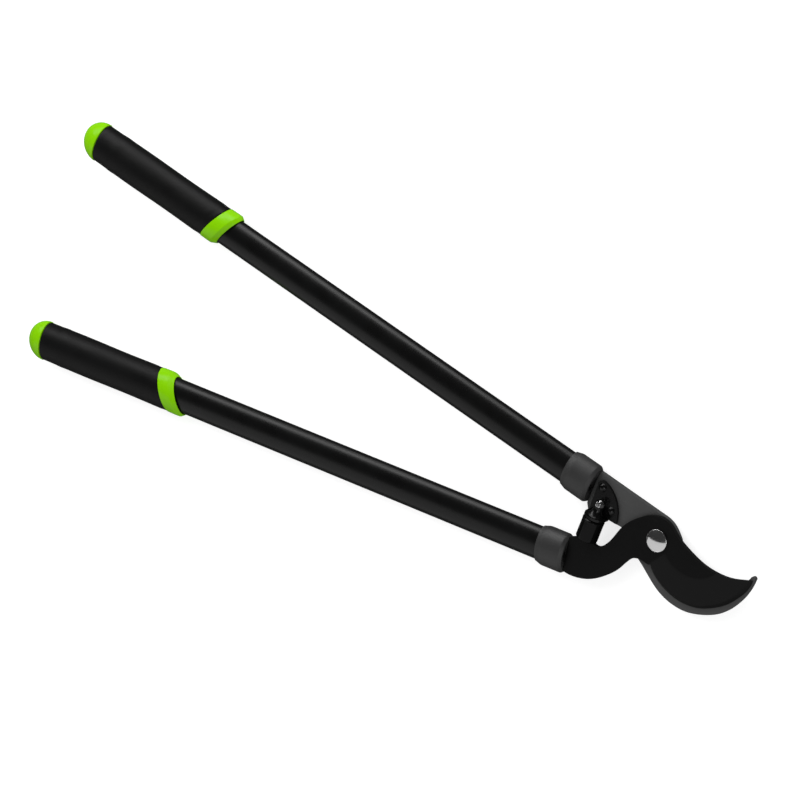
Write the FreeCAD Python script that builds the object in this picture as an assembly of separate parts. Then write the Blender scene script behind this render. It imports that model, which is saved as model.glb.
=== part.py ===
"""Bypass loppers, closed.

The pivot axis is the Z axis.  +X runs from the pivot to the jaw tip, +Z points from the hook to the
blade, and Z = 0 is the face of the pivot nut, on which the tool rests together with its grips.  Both
handles are built once along their own axis, from the head to the grip, and laid into place.  All sizes
are millimetres.
"""
import FreeCAD, Part
import math
import os
from FreeCAD import Placement, Rotation, Vector

# ---- driving dimensions: pivot ----
bolt_diameter = 10.0
bolt_head_diameter = 18.2
bolt_head_rim = 1.2
bolt_head_rise = 1.9
bolt_end_recess = 0.6
running_clearance = 0.05
nut_across_flats = 16.0
nut_height = 6.8
nut_ring_height = 2.2
nut_ring_wall = 1.3
washer_thickness = 1.0
washer_diameter = 20.0

# ---- driving dimensions: hook and blade plates ----
hook_thickness = 4.0
blade_thickness = 4.0
layer_gap = 0.1
grind_depth = 0.6
edge_bevel_width = 2.8
edge_land = 0.5
bevel_overrun_below = 2.0
bevel_overrun_above = 1.0

# ---- driving dimensions: handles ----
handle_angle = 6.587
hook_handle_foot = (2.33, 5.86)
blade_handle_foot = (6.62, -40.41)
hook_neck = 71.1
blade_neck = 78.9
handle_visible_length = 366.0
tube_width = 28.0
tube_height = 15.5
tube_wall = 1.5
tang_side_clearance = 0.93
tang_length = 50.0
neck_inner_offset = 15.8
neck_outer_offset = 13.1
tang_rivet_diameter = 5.0
tang_rivet_inset = 8.5
tang_rivet_pitch = 10.5
part_clearance = 0.1

# ---- driving dimensions: ferrules ----
ferrule_length = 26.0
ferrule_side_build = 2.75
ferrule_top_build = 3.25
ferrule_front_wall = 2.5
ferrule_front_slope = 2.2
ferrule_front_step = 1.2
ferrule_rear_slope = 5.0
ferrule_rear_lip = 0.9

# ---- driving dimensions: grips ----
grip_side_build = 3.4
grip_top_build = 4.05
grip_band_length = 16.7
grip_sleeve_length = 131.6
grip_cap_length = 18.0
grip_front_step = 1.5
grip_sleeve_wall = 2.2
seam_slant = 25.0
band_edge_round = 1.2
tube_end_cover = 8.0

# ---- driving dimensions: bumper and its bracket ----
bracket_thickness = 2.5
bracket_rivet_head = 7.2
bracket_rivet_rise = 2.2
bracket_rivet_shank = 4.5
bracket_rivet_tail = 1.2
bracket_rivet_places = ((-59.6, 16.9), (-46.9, 2.4))
bumper_seat = (-56.4, -6.9)
bumper_axis_height = 6.5
bumper_lean = 4.0
bumper_diameter = 18.2
bumper_length = 20.1
bumper_round = 1.8
bumper_stop_gap = 0.35
stop_land_rear = 7.6
stop_land_front = 5.4
tab_thickness = 2.0
tab_side_step = 0.2
boss_height = 8.0
boss_base_radius = 7.2
boss_waist_radius = 4.7
boss_top_radius = 3.9
stud_diameter = 4.0
stud_flange_diameter = 11.0
stud_flange_thickness = 1.6
stud_flange_depth = 3.0
stud_end = 1.8
stud_nut_flats = 7.0
stud_nut_height = 3.8

# ---- places worked out from the sizes ----
parting_height = nut_height + washer_thickness + hook_thickness
blade_floor = layer_gap
blade_top = layer_gap + blade_thickness
bore_half_height = tube_height / 2 - tube_wall
tang_width = (tube_width - 2 * tube_wall) * math.sqrt(1 - (blade_top / bore_half_height) ** 2) \
    - 2 * tang_side_clearance
ferrule_width = tube_width + 2 * ferrule_side_build
ferrule_height = tube_height + 2 * ferrule_top_build
grip_width = tube_width + 2 * grip_side_build
grip_thickness = tube_height + 2 * grip_top_build
far = 200.0
overshoot = 1.0


class Handle:
    """One handle's axis in plan, and which side of it (local +Y or -Y) looks away from the other handle."""

    def __init__(self, foot, neck, turn, outer_side, plate_floor, plate_thickness):
        self.foot = foot
        self.neck = neck
        self.turn = turn
        self.outer_side = outer_side
        self.plate_floor = plate_floor
        self.plate_top = plate_floor + plate_thickness

    def place(self, shape):
        """Carry a shape from the handle's own frame (X along the handle) to the plates' plane."""
        placed = shape.copy()
        placed.Placement = Placement(Vector(*self.foot, 0), Rotation(Vector(0, 0, 1), self.turn)).multiply(
            placed.Placement)
        return placed

    def point(self, along, outward):
        """The plan point at a distance along the handle and outward from its axis."""
        turn = math.radians(self.turn)
        side = outward * self.outer_side
        return (self.foot[0] + along * math.cos(turn) - side * math.sin(turn),
                self.foot[1] + along * math.sin(turn) + side * math.cos(turn))


hook_handle = Handle(hook_handle_foot, hook_neck, 180.0 - handle_angle, -1, -hook_thickness, hook_thickness)
blade_handle = Handle(blade_handle_foot, blade_neck, 180.0 + handle_angle, 1, blade_floor, blade_thickness)


# ---- general shapes ----
def vectors(points):
    return [Vector(x, y, 0) for x, y in points]


def smooth(points):
    """A smooth curve through plan points."""
    curve = Part.BSplineCurve()
    curve.interpolate(vectors(points))
    return curve.toShape()


def straight(start, end):
    return Part.LineSegment(Vector(*start, 0), Vector(*end, 0)).toShape()


def arc(start, middle, end):
    return Part.Arc(*vectors((start, middle, end))).toShape()


def chain(points):
    """Straight edges from each point to the next."""
    return [straight(start, end) for start, end in zip(points, points[1:])]


def plate(edges, floor, thickness):
    """A flat plate with the given closed outline."""
    face = Part.Face(Part.Wire(Part.__sortEdges__(edges)))
    face.translate(Vector(0, 0, floor))
    return face.extrude(Vector(0, 0, thickness))


def round_bar(diameter, floor, top, place=(0.0, 0.0)):
    return Part.makeCylinder(diameter / 2, top - floor, Vector(*place, floor), Vector(0, 0, 1))


def oval_bar(width, height, start, end):
    """A solid bar of elliptical section along the handle."""
    ellipse = Part.Ellipse(Vector(0, 0, 0), width / 2, height / 2)
    face = Part.Face(Part.Wire(ellipse.toShape()))
    across_handle = Rotation(Vector(0, 1, 0), Vector(0, 0, 1), Vector(1, 0, 0), "YZX")
    face.Placement = Placement(Vector(start, 0, 0), across_handle)
    return face.extrude(Vector(end - start, 0, 0))


def turned(edges):
    """A body turned about the X axis from a profile in (along, radius)."""
    face = Part.Face(Part.Wire(Part.__sortEdges__(edges)))
    return face.revolve(Vector(0, 0, 0), Vector(1, 0, 0), 360)


def oval_turned(edges, flatness, stretch=1.0):
    """A body turned about the handle axis, then flattened and stretched."""
    squash = FreeCAD.Matrix()
    squash.scale(stretch, 1, flatness)
    return turned(edges).transformGeometry(squash)


def half_space_before(along, slant):
    """Everything on the head side of a cross plane that is slanted in plan."""
    box = Part.makeBox(far, 2 * far, far, Vector(-far, -far, -far / 2))
    box.Placement = Placement(Vector(along, 0, 0), Rotation(Vector(0, 0, 1), slant)).multiply(box.Placement)
    return box


def hex_bar(across_flats, floor, height):
    corner = across_flats / math.sqrt(3)
    turns = [math.radians(60 * i) for i in range(7)]
    points = [(corner * math.cos(turn), corner * math.sin(turn)) for turn in turns]
    return plate(chain(points), floor, height)


# ---- the bumper's own frame: Z along its axis, away from the blade's arm, from the tab's lower face ----
def place_on_bumper_axis(shape):
    upright = Rotation(Vector(0, 0, 1), -bumper_lean).multiply(Rotation(Vector(1, 0, 0), -90))
    placed = shape.copy()
    seat = Placement(Vector(*bumper_seat, bumper_axis_height), upright)
    placed.Placement = seat.multiply(placed.Placement)
    return placed


def bumper_plan_point(side, away):
    """The plan point beside the bumper's axis and at a distance from the tab toward the blade's arm."""
    lean = math.radians(bumper_lean)
    return (bumper_seat[0] + side * math.cos(lean) - away * math.sin(lean),
            bumper_seat[1] - side * math.sin(lean) - away * math.cos(lean))


# ---- the two plates ----
def tang(handle):
    """The tongue that runs from the neck into the tube."""
    box = Part.makeBox(tang_length + part_clearance, tang_width, handle.plate_top - handle.plate_floor,
                       Vector(handle.neck - part_clearance, -tang_width / 2, handle.plate_floor))
    return handle.place(box)


def tang_rivet_stations(handle):
    return [handle.neck + tang_rivet_inset + i * tang_rivet_pitch for i in range(2)]


def tang_rivet_holes(handle):
    holes = [Part.makeCylinder(tang_rivet_diameter / 2 + running_clearance, 2 * tube_width,
                               Vector(station, 0, -tube_width)) for station in tang_rivet_stations(handle)]
    return handle.place(Part.makeCompound(holes))


def hook_outline():
    """Anticlockwise from the neck's outer corner: inner edge, jaw, back."""
    neck = hook_neck - part_clearance
    outer_corner = hook_handle.point(neck, neck_outer_offset)
    inner_corner = hook_handle.point(neck, -neck_inner_offset)
    heel = (-67.4, -6.8)
    throat = (16.9, 7.6)
    tip_inside = (83.2, 8.0)
    tip_outside = (87.1, 7.0)
    underside = (-12.5, -23.8)
    return [straight(outer_corner, (-3.7, 19.4)),
            smooth([(-3.7, 19.4), (1.5, 18.6), (6.5, 16.7), (10.5, 14.0), (13.6, 11.2), throat]),
            smooth([throat, (19.0, -2.0), (21.5, -14.0), (28.0, -26.0), (36.0, -30.8), (45.0, -31.5),
                    (54.0, -28.5), (62.0, -23.0), (69.0, -15.8), (75.0, -7.8), (79.5, 0.2), tip_inside]),
            arc(tip_inside, (85.6, 9.8), tip_outside),
            smooth([tip_outside, (86.2, 0.3), (84.1, -7.2), (79.4, -17.3), (70.0, -29.8), (60.0, -36.8),
                    (50.0, -41.3), (40.0, -44.0), (30.0, -44.3), (20.0, -42.6), (10.0, -38.6), (0.0, -32.2),
                    underside]),
            smooth([underside, (-18.0, -18.0), (-25.5, -10.8), (-36.0, -6.6)]),
            straight((-36.0, -6.6), (-64.0, -6.6)),
            arc((-64.0, -6.6), (-66.0, -7.3), heel),
            straight(heel, inner_corner),
            straight(inner_corner, outer_corner)]


def hook():
    """The lower jaw with its long neck and its tang."""
    body = plate(hook_outline(), -hook_thickness, hook_thickness).fuse(tang(hook_handle)).removeSplitter()
    body = body.cut(round_bar(bolt_diameter + 2 * running_clearance, -far, far))
    for place in bracket_rivet_places:
        body = body.cut(round_bar(bracket_rivet_shank + 2 * running_clearance, -far, far, place))
    return body.cut(tang_rivet_holes(hook_handle))


blade_root = (-1.1, -22.2)
blade_tip = (85.8, 7.0)


def edge_curve(start_points):
    """The cutting edge's curve from the tip to the root, with any points that lead into it."""
    curve = Part.BSplineCurve()
    edge = [blade_tip, (84.9, -0.5), (79.9, -10.5), (69.9, -23.0), (59.9, -30.5), (49.9, -35.6),
            (39.9, -37.9), (29.9, -38.1), (19.9, -36.0), (9.9, -31.8), (2.5, -26.6), blade_root]
    curve.interpolate(vectors(start_points + edge))
    return curve


def bevel_cutter():
    """All that lies above the bevel, which slopes down from the ground face to the cutting edge."""
    ground_face = blade_top - grind_depth
    slope = (ground_face - blade_floor - edge_land) / edge_bevel_width
    curve = edge_curve([(83.6, 14.0)])
    rails = []
    for inward in (-bevel_overrun_below, edge_bevel_width + bevel_overrun_above):
        rail = Part.OffsetCurve(curve, inward, Vector(0, 0, 1)).toShape()
        rail.translate(Vector(0, 0, blade_floor + edge_land + inward * slope))
        rails.append(rail)
    return Part.makeRuledSurface(*rails).extrude(Vector(0, 0, far))


def blade_outline():
    """Anticlockwise from the neck's inner corner: stop land, bent arm, head, blade, arm's underside."""
    neck = blade_neck - part_clearance
    inner_corner = blade_handle.point(neck, -neck_inner_offset)
    outer_corner = blade_handle.point(neck, neck_outer_offset)
    stop = bumper_length + bumper_stop_gap
    land_left = bumper_plan_point(-stop_land_rear, stop)
    land_right = bumper_plan_point(stop_land_front, stop)
    return [straight(inner_corner, (-69.5, -31.6)),
            arc((-69.5, -31.6), (-67.2, -29.9), land_left),
            straight(land_left, land_right),
            smooth([land_right, (-50.3, -29.4), (-47.2, -29.4), (-44.2, -27.4), (-41.2, -24.0),
                    (-37.4, -17.0), (-33.2, -6.0), (-29.6, 0.3), (-25.0, 5.9), (-20.0, 10.6),
                    (-15.2, 14.3), (-10.0, 16.9), (-5.0, 18.4), (0.0, 18.7), (5.0, 17.6), (10.0, 14.7),
                    (15.0, 11.0), (19.5, 8.3), (25.0, 5.9), (35.0, 2.3), (45.0, -0.1), (55.0, -0.8),
                    (65.0, 0.0), (75.0, 2.8), (82.0, 5.7), blade_tip]),
            edge_curve([]).toShape(),
            smooth([blade_root, (-7.0, -21.4), (-12.0, -22.0), (-15.3, -23.6), (-18.2, -26.6),
                    (-20.6, -30.2), (-25.2, -38.6), (-30.0, -45.0), (-35.0, -50.0), (-45.0, -57.3),
                    (-55.0, -61.3), (-63.0, -62.7), outer_corner]),
            straight(outer_corner, inner_corner)]


def ground_zone():
    """The part of the blade's face that is ground a little lower, up to a straight and a curved shoulder."""
    shoulder = (9.2, -6.0)
    shoulder_end = (-3.5, -23.5)
    crest = (56.0, 6.0)
    edges = [straight(shoulder_end, shoulder),
             smooth([shoulder, (13.0, -9.5), (21.0, -13.2), (31.0, -14.4), (41.0, -12.5), (49.0, -7.8),
                     (54.5, -1.6), crest])]
    edges += chain([crest, (100.0, 30.0), (100.0, -60.0), (-3.5, -60.0), shoulder_end])
    return plate(edges, blade_top - grind_depth, far)


def blade():
    """The upper jaw: a plate with a bent arm, ground on its face and bevelled to its cutting edge."""
    body = plate(blade_outline(), blade_floor, blade_thickness)
    body = body.cut(ground_zone())
    body = body.cut(bevel_cutter())
    body = body.fuse(tang(blade_handle)).removeSplitter()
    body = body.cut(round_bar(bolt_diameter + 2 * running_clearance, -far, far))
    return body.cut(tang_rivet_holes(blade_handle))


# ---- handles ----
def handle_stations(handle):
    """Distances along the handle: band front, sleeve start, sleeve end, tube end."""
    band_front = handle.neck + ferrule_length + handle_visible_length
    sleeve_start = band_front + grip_band_length
    sleeve_end = sleeve_start + grip_sleeve_length
    return band_front, sleeve_start, sleeve_end, sleeve_end - tube_end_cover


def tube(handle):
    start = handle.neck + ferrule_front_wall
    end = handle_stations(handle)[3]
    outside = oval_bar(tube_width, tube_height, start, end)
    inside = oval_bar(tube_width - 2 * tube_wall, tube_height - 2 * tube_wall, start - overshoot,
                      end + overshoot)
    return handle.place(outside.cut(inside)).cut(tang_rivet_holes(handle))


def ferrule(handle):
    """The collar over the tube's end: sloped at the front, slotted for the tang, and chamfered behind."""
    start = handle.neck
    end = start + ferrule_length
    radius = ferrule_width / 2
    front_radius = radius - ferrule_front_step
    rear_radius = tube_width / 2 + ferrule_rear_lip
    profile = chain([(start, 0), (start, front_radius), (start + ferrule_front_slope, radius),
                     (end - ferrule_rear_slope, radius), (end, rear_radius), (end, 0), (start, 0)])
    body = oval_turned(profile, ferrule_height / ferrule_width)
    bore = oval_bar(tube_width + 2 * part_clearance, tube_height + 2 * part_clearance,
                    start + ferrule_front_wall - part_clearance, end + overshoot)
    slot = Part.makeBox(ferrule_length, tang_width + 2 * part_clearance,
                        handle.plate_top - handle.plate_floor + 2 * part_clearance,
                        Vector(start - overshoot, -tang_width / 2 - part_clearance,
                              handle.plate_floor - part_clearance))
    return handle.place(body.cut(bore).cut(slot))


def tang_shim(handle, floor, top):
    """A filler that packs the tang against one side of the tube's bore."""
    start = handle.neck + ferrule_front_wall
    bore = oval_bar(tube_width - 2 * tube_wall - 2 * running_clearance,
                    tube_height - 2 * tube_wall - 2 * running_clearance, start, handle.neck + tang_length)
    layer = Part.makeBox(far, 2 * tube_width, top - floor, Vector(start - overshoot, -tube_width, floor))
    return handle.place(bore.common(layer)).cut(tang_rivet_holes(handle))


def tang_rivets(handle):
    """Cross rivets dressed flush with the tube, hidden by the ferrule."""
    tube_outside = oval_bar(tube_width, tube_height, handle.neck, handle.neck + tang_length)
    rivets = [Part.makeCylinder(tang_rivet_diameter / 2, 2 * tube_width,
                                Vector(station, 0, -tube_width)).common(tube_outside)
              for station in tang_rivet_stations(handle)]
    return handle.place(Part.makeCompound(rivets))


def grip_core(handle):
    """The hard green part of the grip: the band, a liner under the soft sleeve, and the domed cap."""
    band_front, sleeve_start, sleeve_end, tube_end = handle_stations(handle)
    radius = grip_width / 2
    flatness = grip_thickness / grip_width
    seam_reach = radius * math.tan(math.radians(seam_slant))
    front = band_front - seam_reach
    back = sleeve_start + seam_reach
    slant = seam_slant * handle.outer_side
    band_profile = chain([(front, 0), (front, radius - grip_front_step), (sleeve_start, radius),
                          (back, radius), (back, 0), (front, 0)])
    band = oval_turned(band_profile, flatness).common(half_space_before(sleeve_start, slant))
    band = band.cut(half_space_before(band_front, slant))
    rim = [edge for edge in band.Edges
           if edge.CenterOfMass.x < band_front + overshoot and edge.Length > grip_width]
    band = band.makeChamfer(band_edge_round, rim)
    liner = oval_bar(grip_width - 2 * grip_sleeve_wall, grip_thickness - 2 * grip_sleeve_wall,
                     band_front + seam_reach + overshoot, sleeve_end + overshoot)
    half_way = radius * math.sqrt(0.5)
    dome = arc((0, radius), (half_way, half_way), (radius, 0))
    cap = oval_turned([dome] + chain([(radius, 0), (0, 0), (0, radius)]), flatness, grip_cap_length / radius)
    cap.translate(Vector(sleeve_end, 0, 0))
    bore = oval_bar(tube_width + 2 * part_clearance, tube_height + 2 * part_clearance, front - overshoot,
                    tube_end + part_clearance)
    return handle.place(band.fuse(liner).fuse(cap).cut(bore))


def grip_sleeve(handle):
    """The soft sleeve between the band's slanted seam and the cap."""
    band_front, sleeve_start, sleeve_end, tube_end = handle_stations(handle)
    outside = oval_bar(grip_width, grip_thickness, sleeve_start - grip_width, sleeve_end)
    outside = outside.cut(half_space_before(sleeve_start, seam_slant * handle.outer_side))
    inside = oval_bar(grip_width - 2 * grip_sleeve_wall, grip_thickness - 2 * grip_sleeve_wall,
                      sleeve_start - grip_width - overshoot, sleeve_end + overshoot)
    return handle.place(outside.cut(inside))


# ---- bumper, bracket and their fasteners ----
def bumper_bracket():
    """A sheet riveted to the hook, with a tab bent up across the bumper's axis and a flared boss on it."""
    left = bumper_plan_point(-bumper_diameter / 2, -tab_thickness)
    right_corner = (-39.2, -5.6)
    edges = [straight(left, (-64.6, 17.5)),
             arc((-64.6, 17.5), (-63.4, 21.0), (-59.8, 22.2)),
             arc((-59.8, 22.2), (-46.8, 14.0), right_corner),
             straight(right_corner, left)]
    sheet = plate(edges, 0, bracket_thickness)
    radius = bumper_diameter / 2 - tab_side_step
    post = Part.makeBox(2 * radius, bumper_axis_height, tab_thickness, Vector(-radius, 0, 0))
    tab = Part.makeCylinder(radius, tab_thickness).fuse(post)
    boss_top = tab_thickness + boss_height
    flare = arc((tab_thickness, boss_base_radius), (tab_thickness + 0.35 * boss_height, boss_waist_radius),
                (boss_top, boss_top_radius))
    boss = turned([flare] + chain([(boss_top, boss_top_radius), (boss_top, 0), (tab_thickness, 0),
                                   (tab_thickness, boss_base_radius)]))
    boss.Placement = Placement(Vector(0, 0, 0), Rotation(Vector(0, 1, 0), -90))
    formed = place_on_bumper_axis(tab.fuse(boss))
    above_hook = Part.makeBox(far, far, far, Vector(-far / 2 + bumper_seat[0], -far / 2, 0))
    body = sheet.fuse(formed.common(above_hook)).removeSplitter()
    body = body.cut(place_on_bumper_axis(round_bar(stud_diameter + 2 * part_clearance, -far, far)))
    for place in bracket_rivet_places:
        body = body.cut(round_bar(bracket_rivet_shank + 2 * running_clearance, -far, far, place))
    return body


def dome_head(diameter, rise):
    """A low dome on the plane Z = 0."""
    radius = (diameter * diameter / 4 + rise * rise) / (2 * rise)
    ball = Part.makeSphere(radius, Vector(0, 0, rise - radius))
    return ball.common(Part.makeCylinder(diameter / 2, rise, Vector(0, 0, 0)))


def bracket_rivets():
    rivets = []
    for place in bracket_rivet_places:
        shank = round_bar(bracket_rivet_shank, -hook_thickness, bracket_thickness)
        head = dome_head(bracket_rivet_head, bracket_rivet_rise)
        head.translate(Vector(0, 0, bracket_thickness))
        tail = dome_head(bracket_rivet_head, bracket_rivet_tail)
        tail.rotate(Vector(0, 0, 0), Vector(1, 0, 0), 180)
        tail.translate(Vector(0, 0, -hook_thickness))
        rivet = shank.fuse(head).fuse(tail)
        rivet.translate(Vector(*place, 0))
        rivets.append(rivet)
    return Part.makeCompound(rivets)


def bumper_stud():
    """A threaded stud whose flange is moulded into the bumper."""
    top = tab_thickness + boss_height + stud_nut_height + stud_end
    flange = round_bar(stud_flange_diameter, -stud_flange_depth - stud_flange_thickness, -stud_flange_depth)
    return place_on_bumper_axis(round_bar(stud_diameter, -stud_flange_depth, top).fuse(flange))


def bumper():
    """The rubber stop between the handles' necks."""
    body = Part.makeCylinder(bumper_diameter / 2, bumper_length, Vector(0, 0, -bumper_length))
    rims = [edge for edge in body.Edges if edge.Closed]
    body = place_on_bumper_axis(body.makeFillet(bumper_round, rims))
    return body.cut(bumper_stud())


def bumper_nut():
    floor = tab_thickness + boss_height
    nut = hex_bar(stud_nut_flats, floor, stud_nut_height)
    return place_on_bumper_axis(nut.cut(round_bar(stud_diameter, -far, far)))


# ---- pivot fasteners ----
def pivot_bolt():
    seat = blade_top + layer_gap
    head = round_bar(bolt_head_diameter, seat, seat + bolt_head_rim)
    dome = dome_head(bolt_head_diameter, bolt_head_rise)
    dome.translate(Vector(0, 0, seat + bolt_head_rim))
    return head.fuse(dome).fuse(round_bar(bolt_diameter, bolt_end_recess - parting_height, seat))


def pivot_washer():
    ring = round_bar(washer_diameter, -hook_thickness - washer_thickness, -hook_thickness)
    return ring.cut(round_bar(bolt_diameter + 2 * part_clearance, -far, far))


def pivot_nut():
    body = hex_bar(nut_across_flats, -parting_height, nut_height)
    ring_seat = round_bar(bolt_diameter + 2 * nut_ring_wall, -parting_height - overshoot,
                          nut_ring_height - parting_height)
    return body.cut(round_bar(bolt_diameter, -far, far)).cut(ring_seat)


def pivot_nut_ring():
    ring = round_bar(bolt_diameter + 2 * nut_ring_wall, -parting_height, nut_ring_height - parting_height)
    return ring.cut(round_bar(bolt_diameter, -far, far))


def handle_nodes(name, handle):
    """The pieces that both handles have, named for the plate that they carry."""
    return {name + "_handle_tube": tube(handle),
            name + "_ferrule": ferrule(handle),
            name + "_tang_shim_top": tang_shim(handle, handle.plate_top, bore_half_height),
            name + "_tang_shim_bottom": tang_shim(handle, -bore_half_height, handle.plate_floor),
            name + "_tang_rivets": tang_rivets(handle),
            name + "_grip_core": grip_core(handle),
            name + "_grip_sleeve": grip_sleeve(handle)}


def build():
    nodes = {"hook": hook(), "blade": blade()}
    nodes.update(handle_nodes("hook", hook_handle))
    nodes.update(handle_nodes("blade", blade_handle))
    nodes["bumper_bracket"] = bumper_bracket()
    nodes["bracket_rivets"] = bracket_rivets()
    nodes["bumper"] = bumper()
    nodes["bumper_stud"] = bumper_stud()
    nodes["bumper_nut"] = bumper_nut()
    nodes["pivot_bolt"] = pivot_bolt()
    nodes["pivot_washer"] = pivot_washer()
    nodes["pivot_nut"] = pivot_nut()
    nodes["pivot_nut_ring"] = pivot_nut_ring()
    os.makedirs("parts", exist_ok=True)
    for name, shape in nodes.items():
        shape.translate(Vector(0, 0, parting_height))
        shape.exportStep("parts/" + name + ".step")
        print(name, len(shape.Solids), round(shape.Volume, 1), shape.isValid())


build()
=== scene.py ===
"""Bypass loppers, closed, on a pale studio floor.  Metres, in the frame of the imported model."""
import math
import bmesh
import bpy
import numpy as np
from mathutils import Matrix, Vector


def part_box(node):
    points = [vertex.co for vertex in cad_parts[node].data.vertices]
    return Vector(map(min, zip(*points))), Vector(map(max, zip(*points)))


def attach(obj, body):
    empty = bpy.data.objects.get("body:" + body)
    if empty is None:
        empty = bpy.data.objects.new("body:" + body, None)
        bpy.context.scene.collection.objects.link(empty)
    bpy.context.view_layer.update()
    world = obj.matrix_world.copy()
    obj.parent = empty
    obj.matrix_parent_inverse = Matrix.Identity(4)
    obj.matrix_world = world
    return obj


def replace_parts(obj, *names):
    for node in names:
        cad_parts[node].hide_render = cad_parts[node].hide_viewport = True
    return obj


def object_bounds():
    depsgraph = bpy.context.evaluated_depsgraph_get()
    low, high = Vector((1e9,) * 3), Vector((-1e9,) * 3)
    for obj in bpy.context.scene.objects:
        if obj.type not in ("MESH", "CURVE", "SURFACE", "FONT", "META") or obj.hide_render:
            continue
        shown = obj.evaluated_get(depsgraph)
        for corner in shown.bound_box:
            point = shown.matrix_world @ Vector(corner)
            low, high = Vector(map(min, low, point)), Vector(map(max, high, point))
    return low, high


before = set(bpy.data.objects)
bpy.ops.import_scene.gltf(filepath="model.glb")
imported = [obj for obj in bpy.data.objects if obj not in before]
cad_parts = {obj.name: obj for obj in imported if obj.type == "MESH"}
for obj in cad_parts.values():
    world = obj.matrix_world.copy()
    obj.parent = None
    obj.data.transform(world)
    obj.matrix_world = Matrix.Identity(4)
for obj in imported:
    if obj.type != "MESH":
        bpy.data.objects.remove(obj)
cad_low, cad_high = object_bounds()

MM = 0.001
TAU = 2 * math.pi
UP = np.array([0, 0, 1.0])

# Handles.  Angles are in degrees and lengths in metres.
HANDLE_ANGLE = 6.587
SEAM_SLANT = 25.0
RING_POINTS = 160
TUBE_WALL = 1.5 * MM
TUBE_END_ROUND = 0.4 * MM

# Soft sleeve.
SLEEVE_WALL = 2.2 * MM
SLEEVE_SINK = 0.27 * MM
SLEEVE_END_GAP = 0.3 * MM
SLEEVE_EDGE_ROUND = 0.8 * MM
WAIST_DEPTH = 0.3 * MM
WAIST_WAVES = 1.5
BEAD_RISE = 0.25 * MM
BEAD_PLACE = 0.85
BEAD_WIDTH = 0.03
STEP_DEPTH = 0.25 * MM
STEP_PLACE = 0.05
STEP_SHARPNESS = 260

# Hard core: its band in front of the sleeve, and its cap behind it.
BAND_LENGTH = 16.1 * MM
BAND_LIP_LAP = 0.6 * MM
BAND_LIP_SET_BACK = 0.2 * MM
BAND_LIP_HEIGHT = 0.5 * MM
BAND_SLOPE_END = 4.4 * MM
BAND_SLOPE_DEPTH = 0.1 * MM
SEAM_GAP = 0.15 * MM
SEAM_ROUND = 0.25 * MM
CAP_SHOULDER_DEPTH = 0.3 * MM
CAP_SHOULDER_END = 0.7 * MM

# Collar over the tube's head end.
COLLAR_NOSE_DEPTH = 2.0 * MM
COLLAR_NOSE_END = 2.8 * MM
COLLAR_REAR_SLOPE = 5.0 * MM
COLLAR_REAR_LIP = 0.9 * MM
COLLAR_RIM_LENGTH = 1.0 * MM
COLLAR_TUBE_LAP = 0.12 * MM

# Plates, bracket and stop.
EDGE_ROUND = {"hook": 0.8 * MM, "blade": 0.5 * MM, "bumper_bracket": 0.9 * MM}
EDGE_ANGLE = 20
GROUND_DEPTH = 0.3 * MM
BRACKET_THICKNESS = 2.5 * MM
BUMPER_LEAN = 4.0
BUMPER_FLOOR_ROUND = 1.2 * MM
BUMPER_TOP_ROUND = 1.8 * MM
BUMPER_BODY_STEP = 0.15 * MM
STUD_RADIUS = 2.0 * MM
STUD_PITCH = 0.7 * MM
STUD_THREAD_DEPTH = 0.3 * MM
STUD_IN_BOSS = 6 * MM
STUD_NUT_FLATS = 7.0 * MM

# Pivot fasteners.
BOLT_RADIUS = 5.0 * MM
BOLT_SHANK_RADIUS = 4.95 * MM
BOLT_RIM_HEIGHT = 1.2 * MM
BOLT_RIM_STEP = 0.35 * MM
BOLT_THREAD_LENGTH = 7 * MM
BOLT_PITCH = 1.25 * MM
BOLT_THREAD_DEPTH = 0.6 * MM
NUT_RING_RADIUS = 6.3 * MM
WASHER_BORE_RADIUS = 5.2 * MM
BEARING_GAP = 0.1 * MM

# The camera's angles in degrees, its distance and lens, and where it aims as shares of the model's box.
CAMERA_AZIMUTH = 128.958
CAMERA_ELEVATION = 53.899
CAMERA_ROLL = -106.482
CAMERA_DISTANCE = 3.2177
CAMERA_LENS = 179.19
CAMERA_SENSOR = 36.0
CAMERA_REACH = 50.0
AIM_SHARE = (0.51557, 0.57346, 0.4307)

# Lamps: name, direction from the middle, distance, width, height, radiance and whether gloss mirrors it.
LAMPS = (
    ("front_box", (0.20, -0.72, 0.66), 2.0, 8.0, 2.3, 0.55, True),
    ("upper_strip", (-0.62, 0.60, 0.52), 2.0, 1.9, 0.7, 3.6, True),
    ("side_strip", (0.62, 0.0, 0.78), 2.0, 0.7, 0.35, 4.0, True),
    ("broad_fill", (-0.25, 0.72, 0.65), 2.2, 2.0, 2.0, 2.8, False),
    ("edge_strip", (-0.21, 0.86, 0.45), 2.0, 1.4, 0.12, 3.0, True),
    ("low_strip", (-0.16, 0.96, 0.23), 2.0, 2.4, 0.5, 2.4, True),
)
SURROUND_LIGHT = 0.38
SURROUND_MIRRORED = 0.03
FLOOR_HALF_WIDTH = 6.0
FLOOR_GAP = 0.02 * MM
FLOOR_COLOUR = 0.42
FLOOR_GLOW = 0.72
FLOOR_MIRRORED = 0.08

# Where a Mix node keeps its factor, its two colours and its result.
MIX_FACTOR = 0
MIX_FIRST = 6
MIX_SECOND = 7
MIX_RESULT = 2


# ---------------------------------------------------------------- meshes
def node_points(node):
    """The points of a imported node's mesh, one row each."""
    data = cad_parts[node].data
    points = np.empty(len(data.vertices) * 3)
    data.vertices.foreach_get("co", points)
    return points.reshape(-1, 3)


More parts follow.
